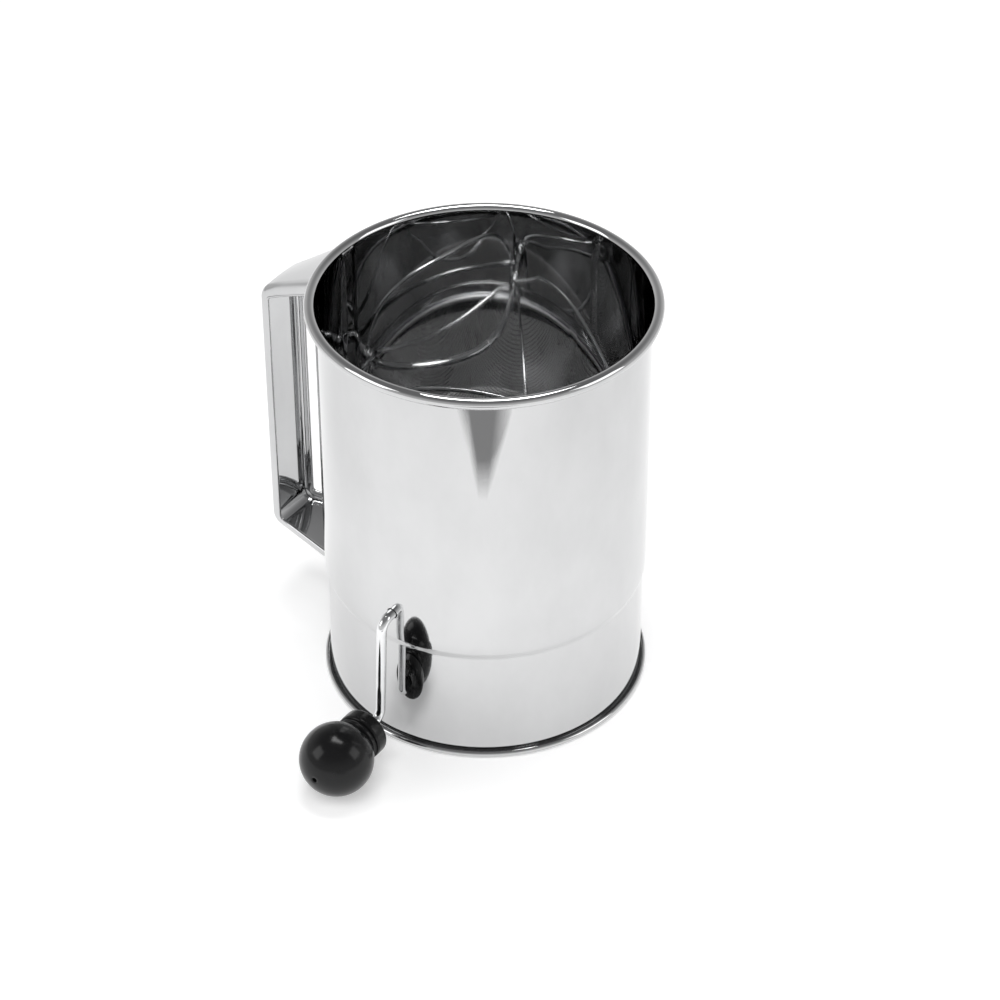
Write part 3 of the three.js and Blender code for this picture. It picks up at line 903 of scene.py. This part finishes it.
# A dark card on the floor in front, which the wall mirrors as a soft tongue. Its rows are (reach from
# the can's axis, half width, strength), and its columns (share of the half width, strength).
CARD_ROWS = [(0.216, 0.014, 0), (0.243, 0.04, 1), (0.278, 0.1, 1), (0.34, 0.14, 0.45), (0.6, 0.2, 0)]
CARD_COLUMNS = [(-1, 0), (-0.45, 1), (0.3, 1), (1, 0)]
CARD_GREY = 0.3


def view_direction(azimuth, elevation):
    a, e = math.radians(azimuth), math.radians(elevation)
    return Vector((math.sin(a) * math.cos(e), -math.cos(a) * math.cos(e), math.sin(e)))


def add_camera():
    data = bpy.data.cameras.new("camera")
    data.lens = LENS
    data.sensor_width = 36
    data.shift_x, data.shift_y = SHIFT
    data.clip_start, data.clip_end = 0.01, 20
    camera = bpy.data.objects.new("camera", data)
    bpy.context.scene.collection.objects.link(camera)
    towards = view_direction(VIEW_AZIMUTH, VIEW_ELEVATION)
    aim = AXIS + Vector((0, 0, HEIGHT / 2))
    turn = towards.to_track_quat("Z", "Y").to_matrix().to_4x4()
    roll = Matrix.Rotation(math.radians(VIEW_ROLL), 4, "Z")
    camera.matrix_world = Matrix.Translation(aim + towards * VIEW_DISTANCE) @ turn @ roll
    bpy.context.scene.camera = camera


def plain_material(name, colour):
    nodes = Nodes(name)
    nodes.shader.inputs["Base Color"].default_value = (*colour, 1)
    nodes.shader.inputs["Roughness"].default_value = 0.9
    nodes.shader.inputs["Specular IOR Level"].default_value = 0.0
    return nodes


def floor_material():
    """A pale light table: it glows a little, except where the can stands on it."""
    nodes = plain_material("pale_floor", (0.86, 0.86, 0.86))
    nodes.shader.inputs["Emission Color"].default_value = (1, 1, 1, 1)
    place_node = nodes.tree.nodes.new("ShaderNodeTexCoord")
    distance = nodes.tree.nodes.new("ShaderNodeVectorMath")
    distance.operation = "DISTANCE"
    distance.inputs[1].default_value = AXIS
    nodes.link(place_node.outputs["Object"], distance.inputs[0])
    glow = nodes.ramp(distance.outputs["Value"], 0, FLOOR_GLOW, SKIRT_R - 2 * MM, SKIRT_R + MM)
    nodes.link(glow, nodes.shader.inputs["Emission Strength"])
    return nodes.material


def front_card():
    """Only mirrors see it: it fades out towards its sides and its ends."""
    turn = Matrix.Rotation(math.radians(VIEW_AZIMUTH), 3, "Z")
    vertices, strengths, faces = [], [], []
    for reach, half, row_strength in CARD_ROWS:
        for share, column_strength in CARD_COLUMNS:
            vertices.append(AXIS + turn @ Vector((share * half, -reach, MM)))
            strengths.append(row_strength * column_strength)
    width = len(CARD_COLUMNS)
    for i in range(len(CARD_ROWS) - 1):
        for k in range(width - 1):
            a = i * width + k
            faces.append((a, a + 1, a + width + 1, a + width))
    card = new_object("front_card", vertices, faces)
    card.data.attributes.new("strength", "FLOAT", "POINT").data.foreach_set("value", strengths)
    nodes = plain_material("front_card", (CARD_GREY, CARD_GREY, CARD_GREY))
    strength = nodes.tree.nodes.new("ShaderNodeAttribute")
    strength.attribute_name = "strength"
    nodes.link(strength.outputs["Fac"], nodes.shader.inputs["Alpha"])
    card.data.materials.append(nodes.material)
    card.visible_camera = False
    card.visible_shadow = False
    card.visible_diffuse = False


def area_light(name, azimuth, elevation, distance, size, power, mirrored):
    data = bpy.data.lights.new(name, "AREA")
    data.shape = "RECTANGLE"
    data.size, data.size_y = size
    data.energy = power
    light = bpy.data.objects.new(name, data)
    bpy.context.scene.collection.objects.link(light)
    towards = view_direction(azimuth, elevation)
    aim = AXIS + Vector((0, 0, HEIGHT / 2))
    light.matrix_world = Matrix.Translation(aim + towards * distance) @ (
        towards.to_track_quat("Z", "Y").to_matrix().to_4x4()
    )
    light.visible_glossy = mirrored
    return light


def add_world():
    """A soft tent: pale round the horizon and dim overhead."""
    world = bpy.data.worlds.new("tent")
    world.use_nodes = True
    tree = world.node_tree
    background = tree.nodes["Background"]
    place_node = tree.nodes.new("ShaderNodeTexCoord")
    split = tree.nodes.new("ShaderNodeSeparateXYZ")
    ramp = tree.nodes.new("ShaderNodeValToRGB")
    ramp.color_ramp.interpolation = "EASE"
    ramp.color_ramp.elements[0].position = 0.12
    ramp.color_ramp.elements[0].color = SKY_LOW
    ramp.color_ramp.elements[1].position = 0.85
    ramp.color_ramp.elements[1].color = SKY_HIGH
    tree.links.new(place_node.outputs["Generated"], split.inputs[0])
    tree.links.new(split.outputs["Z"], ramp.inputs["Fac"])
    tree.links.new(ramp.outputs["Color"], background.inputs["Color"])
    background.inputs["Strength"].default_value = 1.0
    bpy.context.scene.world = world


def add_stage():
    half = 4
    square = [(-half, -half), (half, -half), (half, half), (-half, half)]
    corners = [(AXIS.x + x, AXIS.y + y, -0.2 * MM) for x, y in square]
    floor = new_object("floor", corners, [(0, 1, 2, 3)])
    floor.data.materials.append(floor_material())
    front_card()
    for light in LIGHTS:
        area_light(*light)


# ---- Build --------------------------------------------------------------------------------------

barrel()
rim_wire()
handle()
screen_hoop()
screen_bead()
screen_cloth()
crank_rod()
for bow_index, bow_node in enumerate(BOWS):
    agitator_bow(bow_index, bow_node)
sleeve("front_sleeve", "front_spacer", 0.4 * MM)
sleeve("rear_sleeve", "rear_spacer", 0.4 * MM)
sleeve("rear_disc", "rear_washer", 0.15 * MM)
sleeve("rear_cap_nut", "rear_push_nut", 0.5 * MM)
knob()

add_camera()
add_world()
add_stage()
bpy.context.scene.view_settings.view_transform = "Standard"
